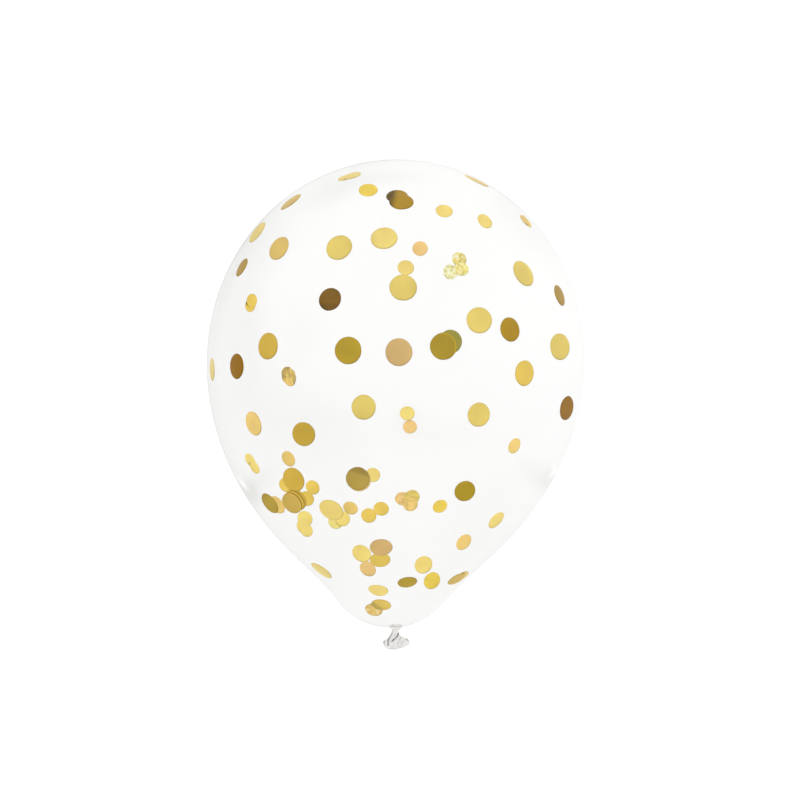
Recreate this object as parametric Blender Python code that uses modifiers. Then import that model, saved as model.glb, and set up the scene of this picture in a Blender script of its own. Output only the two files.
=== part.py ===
"""Confetti balloon: one clear latex balloon, blown up, tied in a knot and lying on its side.

The balloon's long axis runs along Y, crown towards +Y and knot towards -Y, and it rests on Z = 0 on the
small flat spot that its own weight presses into the belly. The envelope, its knot and the crumpled lip below
the knot are one piece of latex, so they are one solid. The origin is the middle of the bounding box's underside.
"""
import bpy
import bmesh
from math import cos, pi, radians, sin

# ---- driving dimensions, in metres ----
DIAMETER = 0.270            # across the belly, a twelve-inch balloon blown up a little short of its size
REST_DEPTH = 0.0020         # how far the flat spot is pressed in
RING_RADIUS = 0.0045        # knot: outer radius of the rolled ring that sits against the tail
BEAD_RADIUS = 0.0024        # knot: radius of the ring's own roll
NECK_RADIUS = 0.0023        # the pinch below the ring
NECK_DROP = 0.0046          # tail tip to the pinch
LIP_DROP = 0.0165           # tail tip to the lip's lowest edge
LIP_WIDTH = 0.0205          # the flared lip across, in the balloon's own width direction
LIP_DEPTH = 0.0130          # the same across the other way: the lip is squashed
LIP_PLEATS = 5              # soft folds round the lip
PLEAT_SHARE = 0.13          # depth of a fold as a share of the lip's half width
RIM_TILT = 0.0014           # the lip hangs lower on one side by this much
KNOT_SIDE = 0.0042          # the knot sits this far to one side of the bent tail's middle

# ---- shape of the blown-up body, as shares of its belly radius ----
# A smooth closed curve in an angle t from the crown (0) to the tail (pi):
#   radius  = sin t * (1 + BULGE[0] cos t + BULGE[1] cos 2t + BULGE[2] cos 3t), scaled to 1 at the belly
#   station = REACH[0] cos t + REACH[1] cos 2t + REACH[2] cos 3t + REACH[3] cos 4t, along the long axis
BULGE = (0.6295, 0.1931, -0.0672)
REACH = (1.1865, 0.3151, 0.0586, -0.0225)
LEAN = 0.0083               # the crown leans to one side and the tail to the other by this slope
TAIL_BEND = 0.0047          # and the tail bends further that way, with the fourth power of the station

AROUND = 60                 # facets round the belly
ALONG = 44                  # rings from crown to tail
LIP_AROUND = 30

RADIUS = DIAMETER / 2


def raw_radius(t):
    return sin(t) * (1 + BULGE[0] * cos(t) + BULGE[1] * cos(2 * t) + BULGE[2] * cos(3 * t))


def raw_station(t):
    return sum(share * cos((k + 1) * t) for k, share in enumerate(REACH))


PEAK_T = max((pi * i / 4000 for i in range(4001)), key=raw_radius)
PEAK = raw_radius(PEAK_T)
TAIL = RADIUS * (raw_station(PEAK_T) - raw_station(pi))     # belly to tail tip
CROWN = RADIUS * (raw_station(0.0) - raw_station(PEAK_T))   # belly to crown


def body_point(t):
    """Radius and station in metres; the station is measured from the belly, positive towards the crown."""
    return RADIUS * raw_radius(t) / PEAK, RADIUS * (raw_station(t) - raw_station(PEAK_T))


def lean(station):
    """Sideways shift of the body's centre line at a station."""
    u = station / RADIUS
    return RADIUS * (LEAN * u - TAIL_BEND * min(u, 0.0) ** 4)


def material(name, colour, roughness, alpha):
    mat = bpy.data.materials.new(name)
    mat.use_nodes = True
    shader = mat.node_tree.nodes["Principled BSDF"]
    shader.inputs["Base Color"].default_value = (*colour, 1.0)
    shader.inputs["Roughness"].default_value = roughness
    shader.inputs["Metallic"].default_value = 0.0
    shader.inputs["Alpha"].default_value = alpha
    return mat


def collection(name):
    made = bpy.data.collections.new(name)
    bpy.context.scene.collection.children.link(made)
    return made


def mesh_from(name, bm):
    mesh = bpy.data.meshes.new(name)
    bm.to_mesh(mesh)
    bm.free()
    return mesh


def turned_body(into):
    """The body turned about Z with the crown up, then leaned, as a plain mesh object."""
    bm = bmesh.new()
    points = []
    for i in range(ALONG + 1):
        radius, station = body_point(pi * i / ALONG)
        if i in (0, ALONG):
            radius = 0.0
        points.append(bm.verts.new((radius, 0.0, station)))
    for a, b in zip(points, points[1:]):
        bm.edges.new((a, b))
    profile = bpy.data.objects.new("body_profile", mesh_from("body_profile", bm))
    into.objects.link(profile)
    screw = profile.modifiers.new("turn", "SCREW")
    screw.axis = "Z"
    screw.steps = AROUND
    screw.render_steps = AROUND
    screw.use_merge_vertices = True
    screw.merge_threshold = 0.00005
    bpy.context.view_layer.update()
    turned = bpy.data.meshes.new_from_object(profile.evaluated_get(bpy.context.evaluated_depsgraph_get()))
    bpy.data.objects.remove(profile)
    for vert in turned.vertices:
        vert.co.x += lean(vert.co.z)
    return turned


def knot_rings():
    """Sections of the knot from inside the tail to the lip: (station below the tip, half width, half depth, fold share, tilt)."""
    core = RING_RADIUS - BEAD_RADIUS
    rings = []
    for i in range(7):                       # the rolled ring, upper half inside the tail
        turn = radians(80 - 145 * i / 6)
        radius = core + BEAD_RADIUS * cos(turn)
        rings.append((-BEAD_RADIUS * sin(turn), radius, radius, 0.0, 0.0))
    steps = 9
    for i in range(steps + 1):               # pinch to lip, flaring
        s = i / steps
        flare = s ** 1.7
        wide = NECK_RADIUS + (LIP_WIDTH / 2 - NECK_RADIUS) * flare
        deep = NECK_RADIUS + (LIP_DEPTH / 2 - NECK_RADIUS) * flare
        drop = NECK_DROP + (LIP_DROP - RIM_TILT - 0.0018 - NECK_DROP) * s
        rings.append((drop, wide, deep, PLEAT_SHARE * s, RIM_TILT * s * s))
    rings.append((LIP_DROP - RIM_TILT - 0.0006, 0.90 * LIP_WIDTH / 2, 0.88 * LIP_DEPTH / 2, 0.10, RIM_TILT))
    rings.append((LIP_DROP - RIM_TILT, 0.66 * LIP_WIDTH / 2, 0.62 * LIP_DEPTH / 2, 0.06, RIM_TILT))
    return rings


def knot_mesh():
    """Ring, pinch and squashed flaring lip, lofted between unlike sections, with the crown's direction up."""
    bm = bmesh.new()
    loops = []
    middle_x = lean(-TAIL) + KNOT_SIDE
    for drop, wide, deep, fold, tilt in knot_rings():
        ring = []
        for j in range(LIP_AROUND):
            a = 2 * pi * j / LIP_AROUND
            swell = 1 + fold * cos(LIP_PLEATS * a + 0.6)
            x = wide * swell * cos(a) / (1 + fold)
            y = deep * swell * sin(a) / (1 + fold)
            z = -TAIL - drop - tilt * (1 - cos(a)) / 2 + tilt * 0.5
            ring.append(bm.verts.new((x + middle_x, y, z)))
        loops.append(ring)
    for upper, lower in zip(loops, loops[1:]):
        for j in range(LIP_AROUND):
            k = (j + 1) % LIP_AROUND
            bm.faces.new((upper[j], lower[j], lower[k], upper[k]))
    for ring in (loops[0], loops[-1]):
        middle = bm.verts.new((
            middle_x,
            0.0,
            sum(v.co.z for v in ring) / len(ring) + (0.0012 if ring is loops[-1] else 0.0),
        ))
        for j in range(LIP_AROUND):
            k = (j + 1) % LIP_AROUND
            bm.faces.new((middle, ring[j], ring[k]))
    bmesh.ops.recalc_face_normals(bm, faces=bm.faces)
    return mesh_from("knot", bm)


def union(mesh_a, mesh_b, into):
    """One closed mesh from two that overlap."""
    a = bpy.data.objects.new("union_a", mesh_a)
    b = bpy.data.objects.new("union_b", mesh_b)
    into.objects.link(a)
    into.objects.link(b)
    join = a.modifiers.new("join", "BOOLEAN")
    join.operation = "UNION"
    join.solver = "EXACT"
    join.object = b
    bpy.context.view_layer.update()
    joined = bpy.data.meshes.new_from_object(a.evaluated_get(bpy.context.evaluated_depsgraph_get()))
    bpy.data.objects.remove(a)
    bpy.data.objects.remove(b)
    return joined


def main():
    for old in list(bpy.data.objects):
        bpy.data.objects.remove(old)

    parts = collection("confetti_balloon")
    guides = collection("cutters")

    latex = union(turned_body(parts), knot_mesh(), parts)
    latex.name = "balloon"
    balloon = bpy.data.objects.new("balloon", latex)
    parts.objects.link(balloon)
    latex.materials.clear()
    latex.materials.append(material("clear_latex", (0.93, 0.94, 0.93), 0.10, 0.12))
    latex.shade_smooth()
    latex.set_sharp_from_angle(angle=radians(40))

    # Lay it down: the crown's direction, up as turned, goes to +Y. The box's middle goes over the origin.
    balloon.rotation_euler = (radians(-90), 0.0, 0.0)
    stations = [v.co.z for v in latex.vertices]
    sides = [v.co.x for v in latex.vertices]
    balloon.location = (
        -(max(sides) + min(sides)) / 2,
        -(max(stations) + min(stations)) / 2,
        RADIUS - REST_DEPTH,
    )

    # The flat spot it lies on: everything below Z = 0 goes.
    floor_mesh = bmesh.new()
    bmesh.ops.create_cube(floor_mesh, size=0.2)
    floor = bpy.data.objects.new("rest_cutter", mesh_from("rest_cutter", floor_mesh))
    guides.objects.link(floor)
    floor.location = (0.0, 0.0, -0.1)
    floor.hide_render = True
    floor.display_type = "WIRE"
    press = balloon.modifiers.new("rest_flat", "BOOLEAN")
    press.operation = "DIFFERENCE"
    press.solver = "EXACT"
    press.object = floor


main()
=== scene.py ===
"""Confetti balloon: the look of the part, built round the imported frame.

A clear latex envelope, blown up, knotted and lying on its side, with round gold foil discs clinging to the
inside of its wall. The camera looks straight down on it, so the crown is at the top of the picture.
"""
import random
from math import acos, atan2, cos, degrees, exp, hypot, pi, radians, sin, sqrt

import bpy
import bmesh
from mathutils import Matrix, Vector, noise


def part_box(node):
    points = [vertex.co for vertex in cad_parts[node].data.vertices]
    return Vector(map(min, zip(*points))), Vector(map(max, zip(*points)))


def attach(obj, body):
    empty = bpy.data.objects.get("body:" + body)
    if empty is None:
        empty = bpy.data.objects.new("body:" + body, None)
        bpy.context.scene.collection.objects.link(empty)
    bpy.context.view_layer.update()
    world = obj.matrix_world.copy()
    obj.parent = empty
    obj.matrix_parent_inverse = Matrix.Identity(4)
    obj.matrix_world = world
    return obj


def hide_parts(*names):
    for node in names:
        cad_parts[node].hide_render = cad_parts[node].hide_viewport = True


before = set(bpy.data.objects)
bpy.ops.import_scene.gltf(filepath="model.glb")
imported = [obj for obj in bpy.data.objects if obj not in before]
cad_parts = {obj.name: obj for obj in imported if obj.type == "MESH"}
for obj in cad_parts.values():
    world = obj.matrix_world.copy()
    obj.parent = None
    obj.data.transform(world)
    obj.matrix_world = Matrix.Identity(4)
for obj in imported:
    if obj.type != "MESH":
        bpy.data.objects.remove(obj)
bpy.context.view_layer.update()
LOW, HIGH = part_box("balloon")

# ---------------------------------------------------------------- the body's shape, as in the CAD model
DIAMETER = 0.270
RADIUS = DIAMETER / 2
REST_DEPTH = 0.0020
BULGE = (0.6295, 0.1931, -0.0672)
REACH = (1.1865, 0.3151, 0.0586, -0.0225)
LEAN, TAIL_BEND = 0.0083, 0.0047
RING_CORE, BEAD = 0.0021, 0.0024
WALL = 0.00004                                             # latex at the belly, on its thinnest side
# A welt half way up each side, as high inside the wall as this at stations given as shares of the radius.
WELT = {-1: [(-1.42, 0.0), (-0.90, 0.0), (-0.62, 0.00004), (-0.35, 0.00009), (-0.08, 0.00018), (0.18, 0.00024),
             (0.48, 0.00034), (0.62, 0.00012), (0.72, 0.00002), (1.08, 0.0)],
        1: [(-1.42, 0.0), (-0.80, 0.00002), (-0.45, 0.00006), (0.10, 0.00004), (0.60, 0.00005), (0.90, 0.0)]}


def raw_radius(t):
    return sin(t) * (1 + BULGE[0] * cos(t) + BULGE[1] * cos(2 * t) + BULGE[2] * cos(3 * t))


def raw_station(t):
    return sum(share * cos((k + 1) * t) for k, share in enumerate(REACH))


PEAK_T = max((pi * i / 4000 for i in range(4001)), key=raw_radius)
PEAK = raw_radius(PEAK_T)
TAIL = RADIUS * (raw_station(PEAK_T) - raw_station(pi))
CROWN = RADIUS * (raw_station(0.0) - raw_station(PEAK_T))
BELLY_Y = HIGH.y - CROWN
AXIS_Z = RADIUS - REST_DEPTH
TAIL_Y = BELLY_Y - TAIL


def profile(t):
    """Radius and station of the outer skin; the station is 0 at the belly and grows towards the crown."""
    return RADIUS * raw_radius(t) / PEAK, RADIUS * (raw_station(t) - raw_station(PEAK_T))


def lean(station):
    u = station / RADIUS
    return RADIUS * (LEAN * u - TAIL_BEND * min(u, 0.0) ** 4)


def smooth(a, b, x):
    t = min(1.0, max(0.0, (x - a) / (b - a)))
    return t * t * (3 - 2 * t)


def along(points, s):
    """The values at s on a row of (s, value, ...) stations, straight between them."""
    if s <= points[0][0]:
        return points[0][1:]
    for (s0, *v0), (s1, *v1) in zip(points, points[1:]):
        if s <= s1:
            k = (s - s0) / (s1 - s0)
            return [a + (b - a) * k for a, b in zip(v0, v1)]
    return points[-1][1:]


def wall_thickness(station, side=-1.0, rise=1.0):
    """Latex thickness. side is -1 to the left and 1 to the right, rise is -1 at the floor, 0 half way up and 1 on
    top. It is made thicker on its left, which greys that side as painted shade, and it is thicker towards the tail."""
    v = station / RADIUS
    left = 0.5 - 0.5 * side
    wall = WALL + 0.00010 * left * (1 - 0.7 * smooth(0.70, 0.95, v)) * (1 - 0.35 * smooth(-0.5, -1.0, v))
    wall += 0.00006 * smooth(0.20, 0.55, abs(rise))
    welt = along(WELT[-1 if side < 0 else 1], v)[0] * exp(-(rise / 0.09) ** 2) * abs(side)
    return wall + welt + 0.00003 * smooth(0.0, -0.8, v) + 0.00012 * smooth(-TAIL + 0.012, -TAIL, station) ** 2


STEPS = 1500
TABLE = [profile(pi * (1 - i / STEPS)) for i in range(STEPS + 1)]      # tail to crown, stations rising


def radius_and_slope(station):
    """Outer radius at a station and how fast it changes there, by a search in the table."""
    low, high = 0, STEPS
    while high - low > 1:
        middle = (low + high) // 2
        if TABLE[middle][1] <= station:
            low = middle
        else:
            high = middle
    (ra, sa), (rb, sb) = TABLE[low], TABLE[high]
    slope = (rb - ra) / (sb - sa)
    return ra + slope * (station - sa), slope


def radius_at(station):
    return radius_and_slope(station)[0]


def room(p, gap=0.0):
    """How far a point is inside the wall's inner face less a gap, across the long axis; negative outside."""
    station = p.y - BELLY_Y
    x, z = p.x - lean(station), p.z - AXIS_Z
    out = hypot(x, z) + 1e-9
    gap = gap + wall_thickness(station, x / out, z / out) + shade_patch_from_table(station, atan2(z, x))
    if station >= CROWN - gap or station <= -TAIL + gap:
        return -1.0
    radius, slope = radius_and_slope(station)
    return min(radius - gap * min(3.0, sqrt(1 + slope * slope)) - out, p.z - gap)


def wall_normal(p):
    """Outward normal of the wall nearest a point."""
    h = 2e-5
    g = Vector([room(p - e) - room(p + e) for e in (Vector((h, 0, 0)), Vector((0, h, 0)), Vector((0, 0, h)))])
    return g.normalized()


# ---------------------------------------------------------------- camera
FOCAL = 789.6                                              # pixels on the 800 pixel frame
CAMERA = Vector((0.0224 * RADIUS, BELLY_Y - 0.1966 * RADIUS, AXIS_Z + 4.3 * RADIUS))
camera_data = bpy.data.cameras.new("camera")
camera_data.sensor_width = 36.0
camera_data.lens = FOCAL * 36.0 / 800
camera_data.clip_start = 0.01
camera_data.clip_end = 50.0
camera = bpy.data.objects.new("camera", camera_data)
camera.location = CAMERA
camera.rotation_euler = (0.0, 0.0, 0.0)
bpy.context.scene.collection.objects.link(camera)
bpy.context.scene.camera = camera


def ray(px, py):
    return Vector(((px - 400) / FOCAL, (400 - py) / FOCAL, -1.0))


def seen_at(p):
    q = p - CAMERA
    return 400 + FOCAL * q.x / -q.z, 400 - FOCAL * q.y / -q.z


def at_height(px, py, z):
    """The point under a pixel at a height."""
    d = ray(px, py)
    return CAMERA + d * (CAMERA.z - z)


# ---------------------------------------------------------------- painted shade and glints on the latex wall
# Greyer patches of the wall, partly thicker latex and partly painted shade and painted reflection of the studio, given
# both as a greyer colour and as thicker latex that absorbs more; negative levels are painted glints, lighter and
# thinner.
# Place as the camera sees it (pixels), the direction in which it is drawn out (degrees anticlockwise), half length,
# half width, how many levels greyer, and 1 if only the upper side of the wall has it. The two pairs before the last
# three rows are painted dark reflections, the smudges at the shoulders of the tail; the last three rows are their thin
# painted glints.
SHADE_PATCHES = [
    (335, 188, 24, 40, 12, 7.0, 0), (388, 178, 2, 40, 7, 3.2, 0),
    (262, 238, 52, 34, 20, 6.0, 0), (243, 318, 88, 92, 24, 6.5, 0), (300, 330, 90, 32, 20, 3.5, 0),
    (310, 422, -12, 62, 30, 4.0, 0), (478, 535, 50, 78, 46, 3.2, 0), (520, 222, -50, 46, 14, 4.0, 0),
    (450, 435, -8, 40, 18, 1.8, 0), (440, 585, 40, 30, 16, 1.2, 0),
    (252.0, 492.0, -62, 14, 5.0, 14.0, 1), (257.0, 483.0, 35, 15, 9.0, 6.5, 1),
    (544.6, 478.0, 62, 11, 4.5, 6.5, 1), (536.0, 474.5, 150, 17, 10.0, 5.0, 1),
    (243.6, 485.0, -57, 6.6, 1.3, -34.0, 0),
    (552.9, 473.6, 55, 4.6, 1.2, -30.0, 0), (553.6, 466.3, 78, 3.2, 1.0, -14.0, 0),
]


def shade_patch_levels(p):
    """How many levels of painted shade the wall gets at a place; negative at the painted glints."""
    px, py = seen_at(p)
    total = 0.0
    for cx, cy, turn, half_long, half_wide, levels, upper in SHADE_PATCHES:
        if upper and p.z < AXIS_Z:
            continue
        dx, dy = px - cx, cy - py
        c, d = cos(radians(turn)), sin(radians(turn))
        f, g = (dx * c + dy * d) / half_long, (dy * c - dx * d) / half_wide
        if f * f + g * g < 9:
            total += levels * (2.0 if upper else 1.0) * exp(-f * f - g * g)
    return total


def shade_patch_thickness(p, slant):
    """More latex under painted shade, less at a painted glint; slant is the cosine between the wall's normal and the
    upright.
    """
    return 0.000062 * shade_patch_levels(p) * max(0.25, slant)


def wall_place(station, a):
    r = radius_at(max(-TAIL, min(CROWN, station)))
    return Vector((lean(station) + r * cos(a), BELLY_Y + station, AXIS_Z + r * sin(a)))


SHADE_PATCH_ROWS, SHADE_PATCH_TURNS = 110, 120
SHADE_PATCH_TABLE = []
for i in range(SHADE_PATCH_ROWS + 1):
    SHADE_PATCH_TABLE.append([])
    for j in range(SHADE_PATCH_TURNS):
        a = 2 * pi * j / SHADE_PATCH_TURNS
        place = wall_place(-TAIL + (TAIL + CROWN) * i / SHADE_PATCH_ROWS, a)
        SHADE_PATCH_TABLE[-1].append(max(0.0, shade_patch_thickness(place, abs(sin(a)))))


def shade_patch_from_table(station, a):
    s = max(0.0, min(SHADE_PATCH_ROWS - 0.001, (station + TAIL) / (TAIL + CROWN) * SHADE_PATCH_ROWS))
    t = (a / (2 * pi)) % 1.0 * SHADE_PATCH_TURNS
    i, j = int(s), int(t) % SHADE_PATCH_TURNS
    k, m, n = s - i, t - int(t), (j + 1) % SHADE_PATCH_TURNS
    low, high = SHADE_PATCH_TABLE[i], SHADE_PATCH_TABLE[i + 1]
    return (low[j] * (1 - m) + low[n] * m) * (1 - k) + (high[j] * (1 - m) + high[n] * m) * k


# ---------------------------------------------------------------- small helpers
def link(obj):
    bpy.context.scene.collection.objects.link(obj)
    return obj


def nodes_of(mat):
    mat.use_nodes = True
    return mat.node_tree, mat.node_tree.nodes["Principled BSDF"]


def srgb(r, g, b):
    out = []
    for c in (r, g, b):
        c = c / 255
        out.append(c / 12.92 if c <= 0.04045 else ((c + 0.055) / 1.055) ** 2.4)
    return tuple(out)


# ---------------------------------------------------------------- materials
def film_material():
    """Clear latex: plain alpha; greyer where thicker and where shade is painted in; it takes light along its length.
    """
    mat = bpy.data.materials.new("clear_latex")
    nt, shader = nodes_of(mat)
    shader.inputs["Alpha"].default_value = 0.0225
    shader.inputs["IOR"].default_value = 1.52
    nt_new = nt.nodes.new
    place = nt_new("ShaderNodeTexCoord")
    attribute = nt_new("ShaderNodeAttribute")
    attribute.attribute_name = "film_grey_and_shade"
    haze = nt_new("ShaderNodeTexNoise")
    haze.inputs["Scale"].default_value = 11.0
    haze.inputs["Detail"].default_value = 3.0
    nt.links.new(place.outputs["Object"], haze.inputs["Vector"])
    add = nt_new("ShaderNodeMath")
    add.operation = "MULTIPLY_ADD"
    nt.links.new(haze.outputs["Fac"], add.inputs[0])
    add.inputs[1].default_value = 0.22
    nt.links.new(attribute.outputs["Fac"], add.inputs[2])
    # the colour greys with thicker latex and with the painted shade, reflections and glints
    ramp = nt_new("ShaderNodeValToRGB")
    ramp.color_ramp.elements[0].position = 0.06
    ramp.color_ramp.elements[0].color = (0.80, 0.80, 0.75, 1)
    ramp.color_ramp.elements[1].position = 1.05
    ramp.color_ramp.elements[1].color = (0.0, 0.0, 0.0, 1)
    nt.links.new(add.outputs[0], ramp.inputs["Fac"])
    nt.links.new(ramp.outputs["Color"], shader.inputs["Base Color"])
    rough = nt_new("ShaderNodeMapRange")
    rough.inputs["To Min"].default_value = 0.05
    rough.inputs["To Max"].default_value = 0.14
    nt.links.new(haze.outputs["Fac"], rough.inputs["Value"])
    nt.links.new(rough.outputs["Result"], shader.inputs["Roughness"])
    volume = nt_new("ShaderNodeVolumeAbsorption")
    volume.inputs["Color"].default_value = (0.11, 0.11, 0.0, 1.0)
    volume.inputs["Density"].default_value = 42.0
    nt.links.new(volume.outputs["Volume"], nt.nodes["Material Output"].inputs["Volume"])
    return mat


def knot_material():
    """The same latex unstretched and bunched: milky, with folds darkened by painted shade, partly for its extra
    layers.
    """
    mat = bpy.data.materials.new("milky_latex")
    nt, shader = nodes_of(mat)
    shader.inputs["Alpha"].default_value = 0.88
    shader.inputs["IOR"].default_value = 1.52
    nt_new = nt.nodes.new
    place = nt_new("ShaderNodeTexCoord")
    fold_layers_and_shade = nt_new("ShaderNodeAttribute")
    fold_layers_and_shade.attribute_name = "fold_layers_and_shade"
    fine = nt_new("ShaderNodeTexNoise")
    fine.inputs["Scale"].default_value = 700.0
    fine.inputs["Detail"].default_value = 4.0
    nt.links.new(place.outputs["Object"], fine.inputs["Vector"])
    mix = nt_new("ShaderNodeMath")
    mix.operation = "MULTIPLY_ADD"
    nt.links.new(fine.outputs["Fac"], mix.inputs[0])
    mix.inputs[1].default_value = 0.16
    nt.links.new(fold_layers_and_shade.outputs["Fac"], mix.inputs[2])
    # darker colour where painted shade lies in the folds
    ramp = nt_new("ShaderNodeValToRGB")
    ramp.color_ramp.elements[0].position = 0.05
    ramp.color_ramp.elements[0].color = (0.97, 0.96, 0.935, 1)
    ramp.color_ramp.elements[1].position = 1.15
    ramp.color_ramp.elements[1].color = (0.12, 0.12, 0.11, 1)
    middle = ramp.color_ramp.elements.new(0.32)
    middle.color = (0.78, 0.765, 0.755, 1)
    nt.links.new(mix.outputs[0], ramp.inputs["Fac"])
    nt.links.new(ramp.outputs["Color"], shader.inputs["Base Color"])
    rough = nt_new("ShaderNodeMapRange")
    rough.inputs["To Min"].default_value = 0.22
    rough.inputs["To Max"].default_value = 0.45
    nt.links.new(fine.outputs["Fac"], rough.inputs["Value"])
    nt.links.new(rough.outputs["Result"], shader.inputs["Roughness"])
    bump = nt_new("ShaderNodeBump")
    bump.inputs["Strength"].default_value = 0.25
    bump.inputs["Distance"].default_value = 0.0003
    nt.links.new(fine.outputs["Fac"], bump.inputs["Height"])
    nt.links.new(bump.outputs["Normal"], shader.inputs["Normal"])
    return mat


TONES = {
    "light": (234, 209, 111),
    "blush": (246, 207, 134),
    "bright": (235, 203, 95),
    "dark": (176, 138, 17),
    "bronze": (124, 88, 0),
    "glow": (251, 223, 128),
    "mid": (214, 179, 72),
    "tan": (229, 197, 112),
    "pale": (255, 246, 178),
    "straw": (252, 232, 140),
    "sand": (203, 171, 83),
    "khaki": (181, 154, 70),
    "olive": (181, 152, 36),
    "rose": (216, 180, 116),
    "brown": (150, 105, 0),
    "yellow": (246, 215, 91),
    "honey": (245, 211, 126),
    "moss": (160, 150, 60),
}


def foil_material(name):
    """Metallised foil in a disc tone, faint creases and drifts of colour, with painted shade, reflections and glints.
    """
    colour = srgb(*TONES[name])
    mat = bpy.data.materials.new("foil_" + name)
    nt, shader = nodes_of(mat)
    shader.inputs["Metallic"].default_value = 1.0
    nt_new = nt.nodes.new
    place = nt_new("ShaderNodeTexCoord")
    drift = nt_new("ShaderNodeTexNoise")
    drift.inputs["Scale"].default_value = 55.0
    drift.inputs["Detail"].default_value = 2.0
    nt.links.new(place.outputs["Object"], drift.inputs["Vector"])
    ramp = nt_new("ShaderNodeValToRGB")
    ramp.color_ramp.elements[0].position = 0.30
    ramp.color_ramp.elements[0].color = (*[min(1.0, c * 0.90) for c in colour], 1)
    ramp.color_ramp.elements[1].position = 0.70
    ramp.color_ramp.elements[1].color = (*[min(1.0, c * 1.10) for c in colour], 1)
    nt.links.new(drift.outputs["Fac"], ramp.inputs["Fac"])
    # the disc's tone with painted shade and painted reflections on it, as a factor
    tone_and_shade = nt_new("ShaderNodeAttribute")
    tone_and_shade.attribute_name = "tone_and_shade"
    scale = nt_new("ShaderNodeVectorMath")
    scale.operation = "SCALE"
    nt.links.new(ramp.outputs["Color"], scale.inputs[0])
    nt.links.new(tone_and_shade.outputs["Fac"], scale.inputs["Scale"])
    # painted glints: the colour mixed towards near white
    painted_glint = nt_new("ShaderNodeAttribute")
    painted_glint.attribute_name = "painted_glint"
    whiten = nt_new("ShaderNodeMix")
    whiten.data_type = "RGBA"
    nt.links.new(painted_glint.outputs["Fac"], whiten.inputs["Factor"])
    colours = [socket for socket in whiten.inputs if socket.type == "RGBA"]
    nt.links.new(scale.outputs["Vector"], colours[0])
    colours[1].default_value = (1.0, 0.985, 0.86, 1.0)
    nt.links.new([socket for socket in whiten.outputs if socket.type == "RGBA"][0], shader.inputs["Base Color"])
    fine = nt_new("ShaderNodeTexNoise")
    fine.inputs["Scale"].default_value = 900.0
    fine.inputs["Detail"].default_value = 3.0
    nt.links.new(place.outputs["Object"], fine.inputs["Vector"])
    rough = nt_new("ShaderNodeMapRange")
    rough.inputs["To Min"].default_value = 0.24
    rough.inputs["To Max"].default_value = 0.40
    nt.links.new(fine.outputs["Fac"], rough.inputs["Value"])
    nt.links.new(rough.outputs["Result"], shader.inputs["Roughness"])
    bump = nt_new("ShaderNodeBump")
    bump.inputs["Strength"].default_value = 0.12
    bump.inputs["Distance"].default_value = 0.0002
    nt.links.new(fine.outputs["Fac"], bump.inputs["Height"])
    nt.links.new(bump.outputs["Normal"], shader.inputs["Normal"])
    return mat


FILM = film_material()
KNOT = knot_material()
FOIL = {name: foil_material(name) for name in TONES}

# ---------------------------------------------------------------- the envelope: wall, knot and lip in one skin
AROUND = 180


def soft_floor(z, k=0.0006):
    """Presses what would be below 0 up onto it, with a soft turn."""
    return 0.5 * (z + sqrt(z * z + k * k))


def finer_at_sides(turn):
    """Spreads evenly spaced angles so that they lie closer together half way up each side."""
    return turn - 0.3 * sin(2 * turn)


def body_rows(count):
    """Rings from crown to tail, as station, radius and the outward normal's two parts, evenly spread along the profile
    but closer together at the shoulders of the tail, where the glints are."""
    fine = 3000
    pts = [profile(pi * i / fine) for i in range(fine + 1)]
    length = [0.0]
    for (ra, sa), (rb, sb) in zip(pts, pts[1:]):
        closer = 1 + 2.4 * smooth(-0.112, -0.100, sa) * (1 - smooth(-0.072, -0.060, sa))
        length.append(length[-1] + hypot(rb - ra, sb - sa) * closer)
    rows = []
    j = 0
    for i in range(count + 1):
        want = length[-1] * i / count
        while j < fine - 1 and length[j + 1] < want:
            j += 1
        (ra, sa), (rb, sb) = pts[j], pts[j + 1]
        k = (want - length[j]) / (length[j + 1] - length[j])
        r, s = ra + (rb - ra) * k, sa + (sb - sa) * k
        dr, ds = rb - ra, sb - sa
        size = hypot(dr, ds)
        rows.append((s, max(0.0, r), -ds / size, dr / size))
    return rows


# The lip, read in pixels of the photograph and carried to the axis plane: left and right edges from pinch to rim,
# and how far the rim hangs below the line between them, from left to right.
LIP_LEFT = [(0.0, 391.9, 631.5), (0.15, 391.0, 634.0), (0.35, 389.3, 636.8), (0.50, 387.2, 639.0),
            (0.62, 385.2, 639.9), (0.75, 383.4, 641.3), (0.87, 383.0, 642.7), (1.0, 383.9, 644.6)]
LIP_RIGHT = [(0.0, 398.6, 631.5), (0.15, 398.9, 633.0), (0.30, 399.4, 635.2), (0.42, 401.4, 636.9),
             (0.55, 404.0, 637.6), (0.70, 407.0, 638.9), (0.85, 409.2, 640.8), (1.0, 409.6, 642.9)]
LIP_HANG = [(0.0, 0.0), (0.05, 1.3), (0.15, 2.6), (0.30, 3.3), (0.40, 3.3), (0.64, 2.4), (0.85, 1.2), (1.0, 0.0)]

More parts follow.
